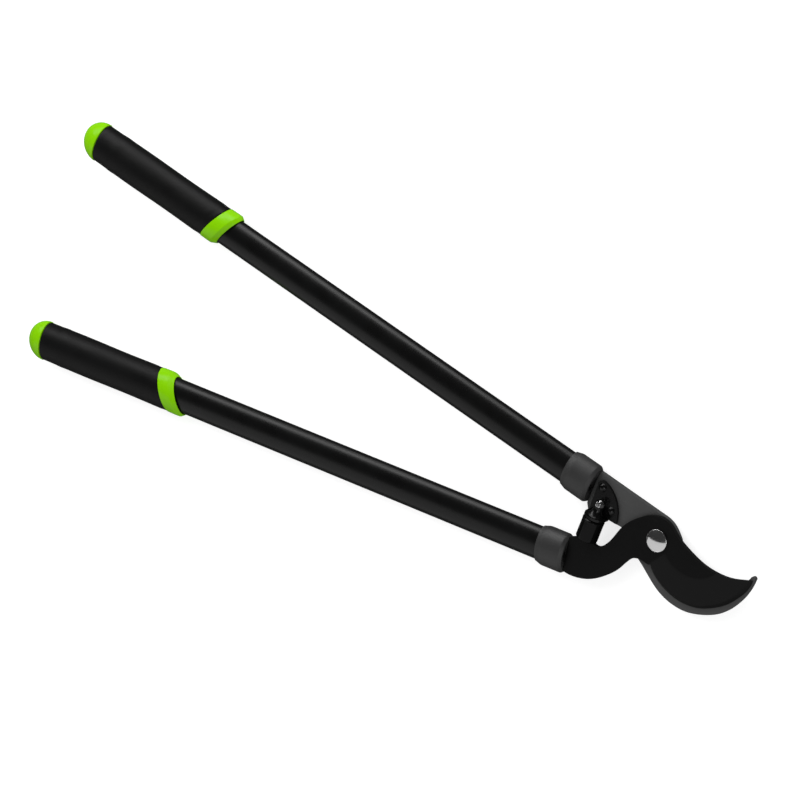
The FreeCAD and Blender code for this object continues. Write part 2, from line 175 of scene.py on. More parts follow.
def dress(piece, body, material, smooth_angle=None):
    """Smooth shading, one material, and the body that a piece belongs to."""
    data = piece.data
    data.polygons.foreach_set("use_smooth", np.ones(len(data.polygons), bool))
    data.materials.clear()
    data.materials.append(material)
    if smooth_angle is not None:
        data.set_sharp_from_angle(angle=math.radians(smooth_angle))
    data.update()
    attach(piece, body)
    return piece


def grid_faces(rows, columns, wrap_rows):
    """Quads of a grid that closes on itself along its columns, and along its rows if asked."""
    row = np.arange(rows if wrap_rows else rows - 1)[:, None]
    column = np.arange(columns)[None, :]
    below = row * columns
    above = ((row + 1) % rows) * columns
    beside = (column + 1) % columns
    quads = np.stack([below + column, below + beside, above + beside, above + column], -1)
    return quads.reshape(-1, 4)


def merge_and_point_out(piece, reach=1e-6):
    """Joins points that share a place, drops faces of no area and turns all faces outward."""
    work = bmesh.new()
    work.from_mesh(piece.data)
    bmesh.ops.remove_doubles(work, verts=work.verts, dist=reach)
    bmesh.ops.dissolve_degenerate(work, edges=work.edges, dist=reach)
    bmesh.ops.recalc_face_normals(work, faces=work.faces)
    work.to_mesh(piece.data)
    work.free()


def skin(name, rings, body, material, closed_profile=False, smooth_angle=35.0):
    """A surface through rings of points; a first or last ring of no size becomes a pole."""
    rings = np.asarray(rings, float)
    rows, columns = rings.shape[:2]
    faces = grid_faces(rows, columns, closed_profile)
    data = bpy.data.meshes.new(name)
    data.from_pydata(rings.reshape(-1, 3).tolist(), [], faces.tolist())
    piece = bpy.data.objects.new(name, data)
    bpy.context.scene.collection.objects.link(piece)
    merge_and_point_out(piece)
    return dress(piece, body, material, smooth_angle)


def rounded(corners, radius, steps=5):
    """A polyline in (along, depth) whose inner corners are rounded, as an array.

    Each corner C is left at A and rejoined at B, both a radius away from it but never past 0.45 of a side.
    The quadratic curve (1-t)^2 A + 2t(1-t) C + t^2 B joins them.
    """
    corners = np.asarray(corners, float)
    path = [corners[0]]
    for before, corner, after in zip(corners, corners[1:], corners[2:]):
        leave = min(radius, 0.45 * np.linalg.norm(corner - before), 0.45 * np.linalg.norm(after - corner))
        start = corner + leave * (before - corner) / np.linalg.norm(before - corner)
        end = corner + leave * (after - corner) / np.linalg.norm(after - corner)
        t = np.linspace(0, 1, steps)[:, None]
        path.extend((1 - t) ** 2 * start + 2 * t * (1 - t) * corner + t ** 2 * end)
    path.append(corners[-1])
    return np.array(path)


# ---------------------------------------------------------------- handles
class Handle:
    """A handle's axis, read from its tube: the head's end, the direction to the grip and the outward side."""

    def __init__(self, side):
        self.side = side
        self.body = side + "_side"
        points = node_points(side + "_handle_tube")
        self.centre = points.mean(0)
        turn = math.radians(HANDLE_ANGLE)
        outer = 1 if side == "hook" else -1
        self.along = np.array([-math.cos(turn), outer * math.sin(turn), 0.0])
        self.outward = np.array([math.sin(turn), outer * math.cos(turn), 0.0])
        offset = points - self.centre
        for direction in (self.outward, UP):
            reach = offset @ direction
            self.centre = self.centre + direction * (reach.min() + reach.max()) / 2
        self.centre = self.centre + self.along * self.span(side + "_ferrule")[0]

    def local(self, node):
        """A node's points as distances along, outward and up."""
        offset = node_points(node) - self.centre
        return offset @ self.along, offset @ self.outward, offset[:, 2]

    def span(self, node):
        """Where a node starts and ends along the handle."""
        along = self.local(node)[0]
        return along.min(), along.max()

    def section(self, node):
        """A node's full width and height across the handle."""
        _, outward, up = self.local(node)
        return outward.max() - outward.min(), up.max() - up.min()

    def rings(self, rows, lean=None):
        """Oval rings for rows (along, width, height, depth, shrink).

        A ring point is shrink * (a cos t, b sin t) moved inward by depth along the oval's own normal, where
        a and b are half the width and height; lean slants each row, along -= lean * outward.
        """
        rows = np.asarray(rows, float)
        along, width, height, depth, shrink = (rows[:, i, None] for i in range(5))
        t = np.linspace(0, TAU, RING_POINTS, endpoint=False)[None, :]
        a, b = width / 2, height / 2
        size = np.hypot(b * np.cos(t), a * np.sin(t))
        outward = shrink * a * np.cos(t) - depth * b * np.cos(t) / size
        up = shrink * b * np.sin(t) - depth * a * np.sin(t) / size
        along = along + np.zeros_like(outward)
        if lean is not None:
            along = along - np.asarray(lean)[:, None] * outward
        return (self.centre + along[..., None] * self.along + outward[..., None] * self.outward
                + up[..., None] * UP)


def oval_rows(path, section, shrink=1.0):
    """Rows (along, width, height, depth, shrink) from a path of (along, depth) on one oval section."""
    count = len(path)
    return np.column_stack([path[:, 0], np.full(count, section[0]), np.full(count, section[1]), path[:, 1],
                            np.broadcast_to(shrink, count)])


def seam_place(handle):
    """Where the sleeve's slanted seam crosses the handle's axis, and the seam's slope."""
    sleeve = handle.side + "_grip_sleeve"
    slope = math.tan(math.radians(SEAM_SLANT))
    return handle.span(sleeve)[0] + handle.section(sleeve)[0] / 2 * slope, slope


def grip_sleeve(handle, material):
    """Soft sleeve: an oval tube whose front is slanted like the band's seam.

    With s from 0 at the seam to 1 at the cap, its depth under the grip's oval is the sink, plus a palm waist
    of (1 - cos) waves, less a bell-shaped bead before the cap, plus a step behind the seam that fades as
    1 / (1 + e^(sharpness (s - place))).
    """
    node = handle.side + "_grip_sleeve"
    end = handle.span(node)[1]
    seam, slope = seam_place(handle)
    rows = 90
    edge = SLEEVE_EDGE_ROUND
    along = np.linspace(seam + SLEEVE_END_GAP, end - SLEEVE_END_GAP, rows)
    share = (along - seam) / (end - seam)
    waist = WAIST_DEPTH * (0.5 - 0.5 * np.cos(TAU * share * WAIST_WAVES))
    bead = BEAD_RISE * np.exp(-((share - BEAD_PLACE) / BEAD_WIDTH) ** 2)
    step = STEP_DEPTH / (1 + np.exp((share - STEP_PLACE) * STEP_SHARPNESS))
    depth = SLEEVE_SINK + waist - bead + step
    first, last = along[0], along[-1]
    front = rounded([(first, SLEEVE_WALL), (first, depth[0]), (first + 3 * edge, depth[0])], edge)[:-1]
    back = rounded([(last - 3 * edge, depth[-1]), (last, depth[-1]), (last, SLEEVE_WALL)], edge)[1:]
    keep = (along > first + 2 * edge) & (along < last - 2 * edge)
    path = np.vstack([front, np.column_stack([along, depth])[keep], back])
    fade = np.clip((end - path[:, 0]) / (end - seam), 0, 1)
    rings = handle.rings(oval_rows(path, handle.section(node)), slope * fade)
    piece = skin(handle.side + "_sleeve_skin", rings, handle.body, material,
                 closed_profile=True)
    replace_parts(piece, node)


def band_path(front, seam, mouth):
    """The band's (along, depth): a lip around the tube, a slope up to full size, and the sleeve's seat."""
    inside = front + 5 * MM
    face = front + BAND_LIP_SET_BACK
    lip = rounded([(inside, mouth), (face, mouth), (face, mouth - BAND_LIP_HEIGHT),
                   (front + BAND_SLOPE_END, BAND_SLOPE_DEPTH), (seam - 8 * MM, 0.0)], 0.5 * MM, 6)
    step = seam - SEAM_GAP
    seat = rounded([(seam - 7 * MM, 0.0), (step, SEAM_GAP), (step, SLEEVE_WALL),
                    (seam + 2 * MM, SLEEVE_WALL)], SEAM_ROUND, 4)
    return np.vstack([lip, seat])


def grip_core(handle, material):
    """Hard core: the slanted band with its sloped front, the liner under the sleeve and the domed cap.

    The dome's section shrinks by cos t while it goes on by its length times sin t.
    """
    node = handle.side + "_grip_core"
    tip = handle.span(node)[1]
    sleeve_end = handle.span(handle.side + "_grip_sleeve")[1]
    section = handle.section(node)
    seam, slope = seam_place(handle)
    front = seam - BAND_LENGTH
    mouth = (section[0] - handle.section(handle.side + "_handle_tube")[0]) / 2 - BAND_LIP_LAP
    band = band_path(front, seam, mouth)
    liner_end = sleeve_end - 2 * MM
    cap_face = sleeve_end + SEAM_GAP
    neck = rounded([(liner_end, SLEEVE_WALL), (cap_face, SLEEVE_WALL), (cap_face, CAP_SHOULDER_DEPTH),
                    (sleeve_end + CAP_SHOULDER_END, 0.0)], 0.3 * MM)
    turn = np.linspace(0.05, math.pi / 2, 36)
    dome = np.column_stack([sleeve_end + (tip - sleeve_end) * np.sin(turn), np.zeros(len(turn))])
    closing = np.array([[band[0, 0], 0.0]])
    rows = np.vstack([oval_rows(closing, section, 0.0), oval_rows(band, section), oval_rows(neck, section),
                      oval_rows(dome, section, np.cos(turn))])
    fade = np.clip((liner_end - rows[:, 0]) / (liner_end - seam - 2 * MM), 0, 1)
    rings = handle.rings(rows, slope * fade)
    piece = skin(handle.side + "_core_skin", rings, handle.body, material, smooth_angle=50)
    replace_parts(piece, node)


def handle_tube(handle, material):
    """The oval tube's outside, with its ends turned in over the wall."""
    node = handle.side + "_handle_tube"
    start, end = handle.span(node)
    wall = TUBE_WALL
    head = rounded([(start + wall, wall), (start, wall), (start, 0), (start + 4 * MM, 0)], TUBE_END_ROUND)
    middle = np.column_stack([np.linspace(start + 6 * MM, end - 6 * MM, 40), np.zeros(40)])
    tail = rounded([(end - 4 * MM, 0), (end, 0), (end, wall), (end - wall, wall)], TUBE_END_ROUND)
    rings = handle.rings(oval_rows(np.vstack([head, middle, tail]), handle.section(node)))
    piece = skin(handle.side + "_tube_skin", rings, handle.body, material, closed_profile=True)
    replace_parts(piece, node)


def ferrule(handle, material):
    """The collar: a front with a sloped nose, a straight body, a rear slope and a thin lip on the tube."""
    node = handle.side + "_ferrule"
    start, end = handle.span(node)
    section = handle.section(node)
    tube_section = handle.section(handle.side + "_handle_tube")
    tail = (section[0] - tube_section[0]) / 2 - COLLAR_REAR_LIP
    lip = tail - 0.5 * MM
    nose = rounded([(start, 8.0 * MM), (start, COLLAR_NOSE_DEPTH), (start + COLLAR_NOSE_END, 0.0),
                    (start + 9 * MM, 0.0)], 0.6 * MM, 6)
    skirt = rounded([(start + 10 * MM, 0.0), (end - COLLAR_REAR_SLOPE, 0.0), (end - COLLAR_RIM_LENGTH, lip)],
                    2.0 * MM, 7)
    rim = rounded([(end - 0.9 * MM, lip), (end - 0.1 * MM, lip + 0.1 * MM), (end, lip + 0.9 * MM)],
                  0.3 * MM, 4)
    outer = np.vstack([nose, skirt, rim])
    inner = np.array([(end, -COLLAR_TUBE_LAP), (end - 6 * MM, -COLLAR_TUBE_LAP)])
    rows = np.vstack([oval_rows(outer[:1], section, 0.0), oval_rows(outer, section),
                      oval_rows(inner, tube_section), oval_rows(inner[1:], tube_section, 0.0)])
    piece = skin(handle.side + "_ferrule_skin", handle.rings(rows), handle.body, material)
    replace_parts(piece, node)


# ---------------------------------------------------------------- turned pieces
class Spindle:
    """An axis that turned pieces stand on: an origin, a direction and two directions across."""

    def __init__(self, origin, direction):
        self.origin = np.asarray(origin, float)
        self.direction = np.asarray(direction, float) / np.linalg.norm(direction)
        helper = np.array([1.0, 0, 0]) if abs(self.direction[0]) < 0.9 else np.array([0, 1.0, 0])
        self.first = np.cross(self.direction, helper)
        self.first /= np.linalg.norm(self.first)
        self.second = np.cross(self.direction, self.first)

    def place(self, along, radius, turn):
        """Points at a distance along, a radius and a turn, each an array of one shape."""
        along, radius, turn = np.broadcast_arrays(along, radius, turn)
        return (self.origin + along[..., None] * self.direction
                + (radius * np.cos(turn))[..., None] * self.first
                + (radius * np.sin(turn))[..., None] * self.second)

    def span(self, node):
        """How far a node reaches along the axis, and its largest radius."""
        offset = node_points(node) - self.origin
        along = offset @ self.direction
        across = offset - along[:, None] * self.direction
        return along.min(), along.max(), np.linalg.norm(across, axis=1).max()


pivot_axis = Spindle([0, 0, 0], UP)
pivot_axis_down = Spindle([0, 0, 0], -UP)


def turned(name, spindle, path, material, around=64, smooth_angle=35.0):
    """A profile of (along, radius) turned about a spindle, on the hook's side."""
    path = np.asarray(path, float)
    turn = np.linspace(0, TAU, around, endpoint=False)
    rings = spindle.place(path[:, :1], path[:, 1:], turn[None, :])
    return skin(name, rings, "hook_side", material, smooth_angle=smooth_angle)


def dome_path(floor, radius, rise, steps=14):
    """A spherical cap's profile from its rim up to its pole; the ball's radius is (r^2 + rise^2) / 2 rise."""
    ball = (radius ** 2 + rise ** 2) / (2 * rise)
    turn = np.linspace(math.asin(min(1, radius / ball)), 0, steps)
    return np.column_stack([floor + rise - ball + ball * np.cos(turn), ball * np.sin(turn)])


def hex_rings(spindle, flats, floor, height, bore, around=96):
    """A hexagon nut with both ends cut by a cone.

    Its radius is the smaller of (flats / 2) / cos(angle to the nearest flat) and the cone's at that height,
    which is a share of the distance across flats.
    """
    turn = np.linspace(0, TAU, around, endpoint=False)
    to_flat = (turn + math.pi / 6) % (math.pi / 3) - math.pi / 6
    hexagon = flats / 2 / np.cos(to_flat)
    rise = 0.11 * flats
    top = floor + height
    ease = 0.5 * MM
    cone = ((floor, 0.47), (floor, 0.495), (floor + rise / 2, 0.555), (floor + rise, 0.60),
            (top - rise, 0.60), (top - rise / 2, 0.555), (top, 0.495), (top, 0.47))
    rows = [(along, np.minimum(hexagon, share * flats)) for along, share in cone]
    hole = ((top, bore + ease), (top - ease, bore), (floor + ease, bore), (floor, bore + ease))
    rows += [(along, np.full(around, radius)) for along, radius in hole]
    along = np.array([row[0] for row in rows])[:, None]
    radius = np.array([row[1] for row in rows])
    return spindle.place(along, radius, turn[None, :])


def thread_rings(spindle, start, end, radius, pitch, depth, around=48):
    """A threaded rod with a blunt end.

    Its radius falls by depth * |2 p - 1|^1.3, where p is the height in pitches less the turn's share, and the
    last part of a pitch narrows to 0.86 of the radius.
    """
    rows = int((end - start) / pitch * 10) + 2
    along = np.linspace(start, end, rows)[:, None]
    turn = np.linspace(0, TAU, around, endpoint=False)[None, :]
    phase = ((along - start) / pitch - turn / TAU) % 1.0
    cut = depth * np.abs(2 * phase - 1) ** 1.3
    taper = np.clip((end - along) / (0.8 * pitch), 0, 1)
    outside = (radius - cut) * (0.86 + 0.14 * taper)
    first = spindle.place(np.array([[start]]), 0.0, turn)
    last = spindle.place(np.array([[end]]), 0.0, turn)
    return np.vstack([first, spindle.place(along, outside, turn), last])


# ---------------------------------------------------------------- plates and fasteners
def mark_ground(piece, top):
    """A face value of 1 where the blade is ground below its coated top, else 0."""
    centres = np.empty(len(piece.data.polygons) * 3)
    piece.data.polygons.foreach_get("center", centres)
    lowered = (centres.reshape(-1, 3)[:, 2] < top - GROUND_DEPTH).astype(float)
    piece.data.attributes.new("ground", "FLOAT", "FACE").data.foreach_set("value", lowered)


def softened(node, material):
    """A copy of a flat or pressed node with its points joined, flats made whole and edges rounded."""
    piece = bpy.data.objects.new(node + "_skin", bpy.data.meshes.new(node + "_skin"))
    bpy.context.scene.collection.objects.link(piece)
    work = bmesh.new()
    work.from_mesh(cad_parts[node].data)
    bmesh.ops.remove_doubles(work, verts=work.verts, dist=2e-6)
    bmesh.ops.dissolve_limit(work, angle_limit=math.radians(0.4), verts=work.verts, edges=work.edges)
    work.to_mesh(piece.data)
    work.free()
    if "custom_normal" in piece.data.attributes:
        piece.data.attributes.remove(piece.data.attributes["custom_normal"])
    if node == "blade":
        mark_ground(piece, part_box(node)[1].z)
    edge = piece.modifiers.new("rounded_edges", "BEVEL")
    edge.width = EDGE_ROUND[node]
    edge.segments = 3
    edge.limit_method = "ANGLE"
    edge.angle_limit = math.radians(EDGE_ANGLE)
    edge.harden_normals = True
    dress(piece, "blade_side" if node == "blade" else "hook_side", material)
    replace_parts(piece, node)


def pivot_bolt(material):
    """Polished low domed head with a crisp rim, plain shank and a threaded end inside the nut."""
    node = "pivot_bolt"
    low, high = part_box(node)
    radius = (high.x - low.x) / 2
    crown = radius - BOLT_RIM_STEP
    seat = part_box("blade")[1].z + BEARING_GAP
    rim = seat + BOLT_RIM_HEIGHT
    dome_floor = rim + 0.1 * MM
    skirt = rounded([(seat, BOLT_SHANK_RADIUS - 0.05 * MM), (seat, radius - 0.15 * MM),
                     (seat + 0.25 * MM, radius), (rim, radius), (rim + 0.15 * MM, crown)], 0.25 * MM)
    dome = dome_path(dome_floor, crown, high.z - dome_floor, 24)
    shank_foot = low.z + BOLT_THREAD_LENGTH - 1 * MM
    shank = [(shank_foot, 0), (shank_foot, BOLT_SHANK_RADIUS), (seat, BOLT_SHANK_RADIUS)]
    thread = thread_rings(pivot_axis_down, -low.z - BOLT_THREAD_LENGTH, -low.z, BOLT_SHANK_RADIUS, BOLT_PITCH,
                          BOLT_THREAD_DEPTH)
    head = np.vstack([skirt, dome])
    pieces = (turned("pivot_bolt_head", pivot_axis, head, material, 96, 60),
              turned("pivot_bolt_shank", pivot_axis, shank, material),
              skin("pivot_bolt_thread", thread, "hook_side", material))
    for piece in pieces:
        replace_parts(piece, node)


def pivot_nut(zinc, nylon):
    """Lock nut on the far side: a chamfered hexagon, the nylon ring in its seat, and the washer."""
    low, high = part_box("pivot_nut")
    rings = hex_rings(pivot_axis, high.y - low.y, low.z, high.z - low.z, NUT_RING_RADIUS)
    nut = skin("pivot_nut_body", rings, "hook_side", zinc, closed_profile=True)
    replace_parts(nut, "pivot_nut")
    low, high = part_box("pivot_nut_ring")
    face = low.z + 0.05 * MM
    path = rounded([(high.z, BOLT_RADIUS), (face, BOLT_RADIUS), (face, NUT_RING_RADIUS),
                    (high.z, NUT_RING_RADIUS)], 0.5 * MM)
    ring = turned("pivot_nut_nylon", pivot_axis, path, nylon)
    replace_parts(ring, "pivot_nut_ring")
    low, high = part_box("pivot_washer")
    radius = (high.x - low.x) / 2
    path = rounded([(low.z, WASHER_BORE_RADIUS), (low.z, radius), (high.z, radius),
                    (high.z, WASHER_BORE_RADIUS)], 0.25 * MM)
    washer = turned("pivot_washer_ring", pivot_axis, np.vstack([path, path[:1]]), zinc)
    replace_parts(washer, "pivot_washer")


def bracket_rivets(material):
    """Two rivets: a domed head with a small foot on the bracket and a pressed tail behind the hook."""
    points = node_points("bracket_rivets")
    middle = (points[:, 0].min() + points[:, 0].max()) / 2
    hook_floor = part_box("hook")[0].z
    bracket_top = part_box("hook")[1].z + BRACKET_THICKNESS
    foot = bracket_top + 0.15 * MM
    for name, chosen in (("rivet_rear", points[:, 0] < middle), ("rivet_front", points[:, 0] >= middle)):
        low, high = points[chosen].min(0), points[chosen].max(0)
        spindle = Spindle([(low[0] + high[0]) / 2, (low[1] + high[1]) / 2, 0], UP)
        radius = (high[0] - low[0]) / 2
        head = np.vstack([[(bracket_top, 0), (bracket_top, radius)], dome_path(foot, radius, high[2] - foot)])
        tail = [(hook_floor, 0), (hook_floor, radius), (hook_floor - 0.7 * MM, radius - 0.3 * MM),
                (low[2], radius - 1.4 * MM), (low[2], 0)]
        for part, path in (("_head", head), ("_tail", tail)):
            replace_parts(turned(name + part, spindle, path, material), "bracket_rivets")


def stop_spindle():
    """The bumper's axis: leaning in plan, pointing away from the blade's arm, through the bumper's middle."""
    low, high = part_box("bumper")
    lean = math.radians(BUMPER_LEAN)
    return Spindle((low + high) / 2, [math.sin(lean), math.cos(lean), 0])


def bumper(material):
    """Rubber stop: a straight body with a rounded foot and a slightly wider, rounded shoulder at the top."""
    spindle = stop_spindle()
    floor, top, radius = spindle.span("bumper")
    body = radius - BUMPER_BODY_STEP
    face = top - 0.1 * MM
    path = rounded([(floor, 0), (floor, radius - BUMPER_FLOOR_ROUND), (floor + BUMPER_FLOOR_ROUND, body),
                    (top - 3.0 * MM, body), (top - 2.6 * MM, radius), (top - 1.9 * MM, radius),
                    (face, radius - BUMPER_TOP_ROUND), (face, 0)], 0.6 * MM)
    piece = turned("bumper_skin", spindle, path, material, 96, 60)
    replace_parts(piece, "bumper")


def bumper_fasteners(material):
    """Stud with a rolled thread and a blunt end, and its hexagon nut against the boss."""
    spindle = stop_spindle()
    floor, top, _ = spindle.span("bumper_nut")
    end = spindle.span("bumper_stud")[1]
    rings = hex_rings(spindle, STUD_NUT_FLATS, floor, top - floor, STUD_RADIUS)
    nut = skin("bumper_nut_body", rings, "hook_side", material, closed_profile=True)
    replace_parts(nut, "bumper_nut")
    rings = thread_rings(spindle, floor - STUD_IN_BOSS, end, STUD_RADIUS, STUD_PITCH, STUD_THREAD_DEPTH)
    stud = skin("bumper_stud_thread", rings, "hook_side", material)
    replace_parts(stud, "bumper_stud")


# ---------------------------------------------------------------- looks
def give(tree, socket, value):
    """Links a socket to another one, or sets it to a number, a vector or a colour."""
    if isinstance(value, bpy.types.NodeSocket):
        tree.links.new(value, socket)
    else:
        socket.default_value = value


def noise(tree, place, scale, detail, stretch):
    """Cloudy noise of object coordinates, stretched by different scales along the three axes."""
    mapping = tree.nodes.new("ShaderNodeMapping")
    give(tree, mapping.inputs["Vector"], place)
    give(tree, mapping.inputs["Scale"], stretch)
    cloud = tree.nodes.new("ShaderNodeTexNoise")
    give(tree, cloud.inputs["Vector"], mapping.outputs["Vector"])
    give(tree, cloud.inputs["Scale"], scale)
    give(tree, cloud.inputs["Detail"], detail)
    return cloud.outputs["Fac"]


def remap(tree, value, low, high, to_low=0.0, to_high=1.0):
    """A value's range low..high carried over to another range and held inside it."""
    ranged = tree.nodes.new("ShaderNodeMapRange")
    give(tree, ranged.inputs["Value"], value)
    for key, number in (("From Min", low), ("From Max", high), ("To Min", to_low), ("To Max", to_high)):
        give(tree, ranged.inputs[key], number)
    return ranged.outputs["Result"]


def combine(tree, operation, first, second):
    """Two values added, or the larger of them, as the operation says."""
    node = tree.nodes.new("ShaderNodeMath")
    node.operation = operation
    give(tree, node.inputs[0], first)
    give(tree, node.inputs[1], second)
    return node.outputs[0]


def mix_colours(tree, factor, first, second):
    """The first colour where the factor is 0 and the second where it is 1."""
    node = tree.nodes.new("ShaderNodeMix")
    node.data_type = "RGBA"
    give(tree, node.inputs[MIX_FACTOR], factor)
    give(tree, node.inputs[MIX_FIRST], first)
    give(tree, node.inputs[MIX_SECOND], second)
    return node.outputs[MIX_RESULT]


def shader_group(name, inputs, outputs):
    """An empty shader group with its object coordinates, its input node and its output node."""
    tree = bpy.data.node_groups.new(name, "ShaderNodeTree")
    for socket, kind in inputs:
        tree.interface.new_socket(name=socket, in_out="INPUT", socket_type=kind)
    for socket in outputs:
        tree.interface.new_socket(name=socket, in_out="OUTPUT", socket_type="NodeSocketFloat")
    place = tree.nodes.new("ShaderNodeTexCoord").outputs["Object"]
    return tree, place, tree.nodes.new("NodeGroupInput"), tree.nodes.new("NodeGroupOutput")


def grain_group():
    """Cloud: slow patches, their noise carried from 0.3..0.7 to 0..1.  Height: fine noise plus 0.3 cloud."""
    inputs = (("Fineness", "NodeSocketFloat"), ("Stretch", "NodeSocketVector"))
    tree, place, given, out = shader_group("surface_grain", inputs, ("Cloud", "Height"))
    slow = noise(tree, place, 38.0, 3.0, given.outputs["Stretch"])
    grain = noise(tree, place, given.outputs["Fineness"], 2.0, given.outputs["Stretch"])
    give(tree, out.inputs["Cloud"], remap(tree, slow, 0.3, 0.7))
    give(tree, out.inputs["Height"], combine(tree, "ADD", grain, remap(tree, slow, 0.3, 0.7, 0.0, 0.3)))
    return tree


def scratch_group():
    """Fine scratches: two noises drawn out along crossing directions, cut to their peaks and made faint."""
    tree, place, given, out = shader_group("fine_scratches", (("Strength", "NodeSocketFloat"),), ("Mask",))
    lengthwise = remap(tree, noise(tree, place, 60.0, 2.0, (1.0, 22.0, 1.0)), 0.66, 0.74)
    crosswise = remap(tree, noise(tree, place, 55.0, 2.0, (18.0, 1.4, 1.0)), 0.68, 0.76)
    both = combine(tree, "MAXIMUM", lengthwise, crosswise)
    give(tree, out.inputs["Mask"], combine(tree, "MULTIPLY", both, given.outputs["Strength"]))
    return tree


def group_node(tree, group, **values):
    """A shader group placed in a material with its own values."""
    node = tree.nodes.new("ShaderNodeGroup")
    node.node_tree = group
    for key, value in values.items():
        give(tree, node.inputs[key], value)
    return node


def from_srgb(*values):
    """Linear colour from 0..255 display values: v/12.92 below 0.04045, else ((v + 0.055)/1.055)^2.4."""
    v = np.array(values) / 255
    return (*np.where(v <= 0.04045, v / 12.92, ((v + 0.055) / 1.055) ** 2.4), 1.0)


def grey(value):
    """A neutral display colour."""
    return (value, value, value)


surface_grain = grain_group()
fine_scratches = scratch_group()

# Each grain's fineness and its stretch along the three axes.
POWDER = (2200.0, (1.0, 1.0, 1.0))
RUBBER = (3200.0, (1.0, 1.0, 1.0))
MOULDED = (900.0, (1.0, 1.0, 1.0))
POLISHED = (1500.0, (1.0, 6.0, 1.0))
SCRATCH_STRENGTH = 0.16


def look(name, grain, colours, roughness, bump, metallic=0.0, specular=0.5, marks=None, ground=None):
    """A material: two near colours and two roughnesses mixed by the grain's cloud, with its height as bump.

    Scratches show a lighter colour, and faces that carry the attribute "ground" show the ground colour.
    """
    material = bpy.data.materials.new(name)
    material.use_nodes = True
    tree = material.node_tree
    shader = tree.nodes["Principled BSDF"]
    shader.inputs["Metallic"].default_value = metallic
    shader.inputs["Specular IOR Level"].default_value = specular
    fineness, stretch = grain
    surface = group_node(tree, surface_grain, Fineness=fineness, Stretch=stretch)
    ramp = tree.nodes.new("ShaderNodeValToRGB")
    for stop, colour in zip(ramp.color_ramp.elements, colours):
        stop.color = from_srgb(*colour)
    give(tree, ramp.inputs["Fac"], surface.outputs["Cloud"])
    colour = ramp.outputs["Color"]
    if ground is not None:
        mask = tree.nodes.new("ShaderNodeAttribute")
        mask.attribute_name = "ground"
        colour = mix_colours(tree, mask.outputs["Fac"], colour, from_srgb(*ground))
    if marks is not None:
        scratched = group_node(tree, fine_scratches, Strength=SCRATCH_STRENGTH)
        colour = mix_colours(tree, scratched.outputs["Mask"], colour, from_srgb(*marks))
    give(tree, shader.inputs["Base Color"], colour)
    give(tree, shader.inputs["Roughness"], remap(tree, surface.outputs["Cloud"], 0.0, 1.0, *roughness))
    relief = tree.nodes.new("ShaderNodeBump")
    give(tree, relief.inputs["Distance"], bump)
    give(tree, relief.inputs["Strength"], 1.0)
    give(tree, relief.inputs["Height"], surface.outputs["Height"])
    give(tree, shader.inputs["Normal"], relief.outputs["Normal"])
    return material


looks = {
    "hook_coat": look("hook_coat", POWDER, (grey(54), grey(58)), (0.42, 0.52), 0.00002, marks=grey(90)),
    "blade_coat": look("blade_coat", POWDER, (grey(6), grey(8)), (0.38, 0.46), 0.00001, specular=0.16,
                       marks=grey(34), ground=grey(16)),
    "tube_paint": look("tube_paint", POWDER, (grey(7), grey(9)), (0.26, 0.31), 0.000015, specular=0.34),
    "ferrule_plastic": look("ferrule_plastic", MOULDED, (grey(34), grey(38)), (0.48, 0.58), 0.00002,
                            specular=0.70),
    "shim_plastic": look("shim_plastic", MOULDED, (grey(40), grey(46)), (0.50, 0.60), 0.00002),
    "grip_green": look("grip_green", MOULDED, ((110, 174, 0), (115, 180, 0)), (0.18, 0.24), 0.00001,
                       specular=0.16),
    "grip_rubber": look("grip_rubber", RUBBER, (grey(6), grey(9)), (0.42, 0.50), 0.00004, specular=0.22),
    "bracket_paint": look("bracket_paint", POWDER, (grey(5), grey(7)), (0.18, 0.24), 0.00001, specular=0.35,
                          marks=grey(40)),
    "bumper_rubber": look("bumper_rubber", MOULDED, (grey(3), grey(5)), (0.14, 0.20), 0.00001, specular=0.18),
    "zinc_steel": look("zinc_steel", POLISHED, (grey(190), grey(225)), (0.08, 0.16), 0.00001, metallic=1.0),
    "bolt_chrome": look("bolt_chrome", POLISHED, (grey(240), grey(248)), (0.10, 0.16), 0.000004,
                        metallic=1.0),
    "nut_nylon": look("nut_nylon", MOULDED, (grey(60), grey(70)), (0.40, 0.50), 0.00001),
}


def dress_packed_nodes():
    """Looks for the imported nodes; only the tangs' rivets and fillers keep their own shapes."""
    for name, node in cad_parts.items():
        node.data.materials.clear()
        node.data.materials.append(looks["zinc_steel" if "rivets" in name else "shim_plastic"])


dress_packed_nodes()
for side in ("hook", "blade"):
    handle = Handle(side)
    handle_tube(handle, looks["tube_paint"])
    ferrule(handle, looks["ferrule_plastic"])
    grip_core(handle, looks["grip_green"])
    grip_sleeve(handle, looks["grip_rubber"])
    softened(side, looks[side + "_coat"])
softened("bumper_bracket", looks["bracket_paint"])
bracket_rivets(looks["bracket_paint"])
bumper(looks["bumper_rubber"])
bumper_fasteners(looks["zinc_steel"])
pivot_bolt(looks["bolt_chrome"])
pivot_nut(looks["zinc_steel"], looks["nut_nylon"])


# ---------------------------------------------------------------- floor, light and camera
def mirror_switch(tree, seen, mirrored, surface):
    """Shows one shader, and another one to mirror rays, on an output's surface."""
    path = tree.nodes.new("ShaderNodeLightPath")
    mix = tree.nodes.new("ShaderNodeMixShader")
    give(tree, mix.inputs["Fac"], path.outputs["Is Glossy Ray"])
    give(tree, mix.inputs[1], seen)
    give(tree, mix.inputs[2], mirrored)
    give(tree, surface, mix.outputs["Shader"])


